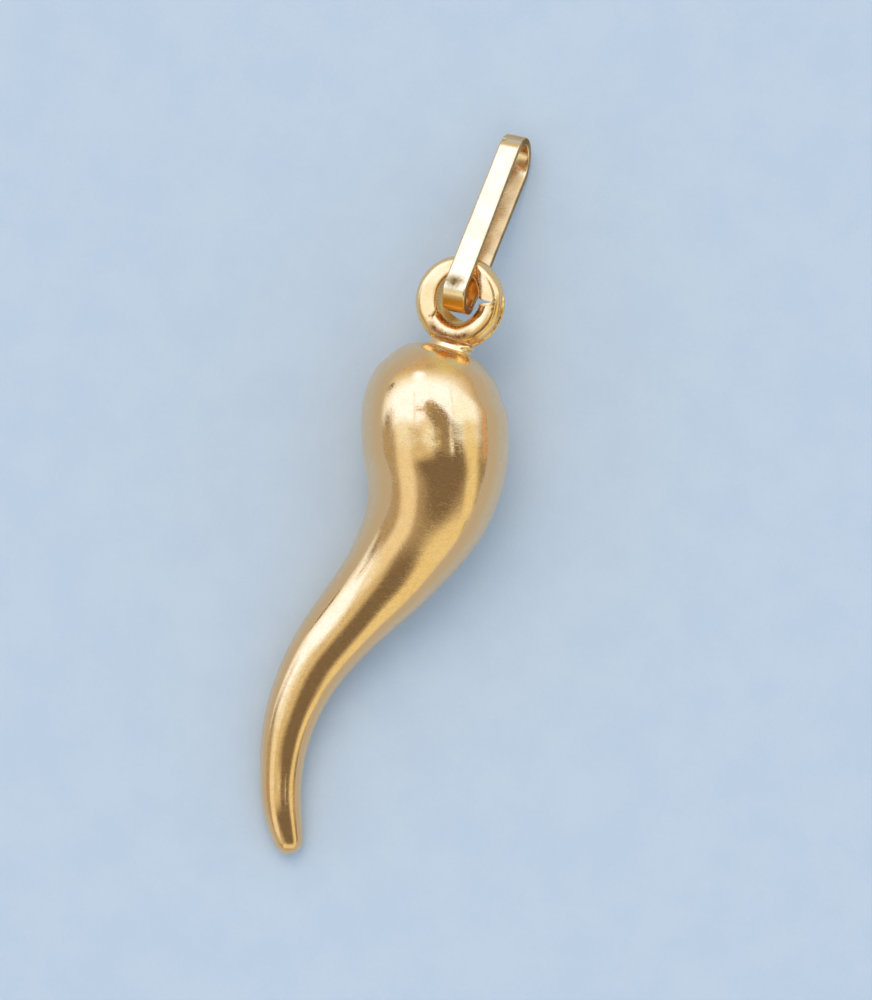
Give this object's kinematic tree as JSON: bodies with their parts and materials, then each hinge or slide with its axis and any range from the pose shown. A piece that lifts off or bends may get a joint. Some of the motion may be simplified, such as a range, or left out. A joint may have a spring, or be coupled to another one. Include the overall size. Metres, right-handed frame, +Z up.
{
  "type": "cornicello horn pendant",
  "caption": "Twisted horn charm of hollow gold with a soldered eye ring and a long flat bail for a neck chain, lying on its side.",
  "frame": {"origin": "middle of the footprint, on the surface that the pendant lies on", "axes": "+Y from the tip of the horn to the far end of the bail, +X across the curve of the horn, +Z up"},
  "size_m": [0.007, 0.0331, 0.0065],
  "materials": {
    "polished_gold": "polished yellow gold with fine hairline scratches",
    "bail_gold": "bright yellow gold strip, lightly brushed"
  },
  "bodies": {
    "root": {"horn": "polished_gold", "bail": "bail_gold"}
  },
  "joints": []
}
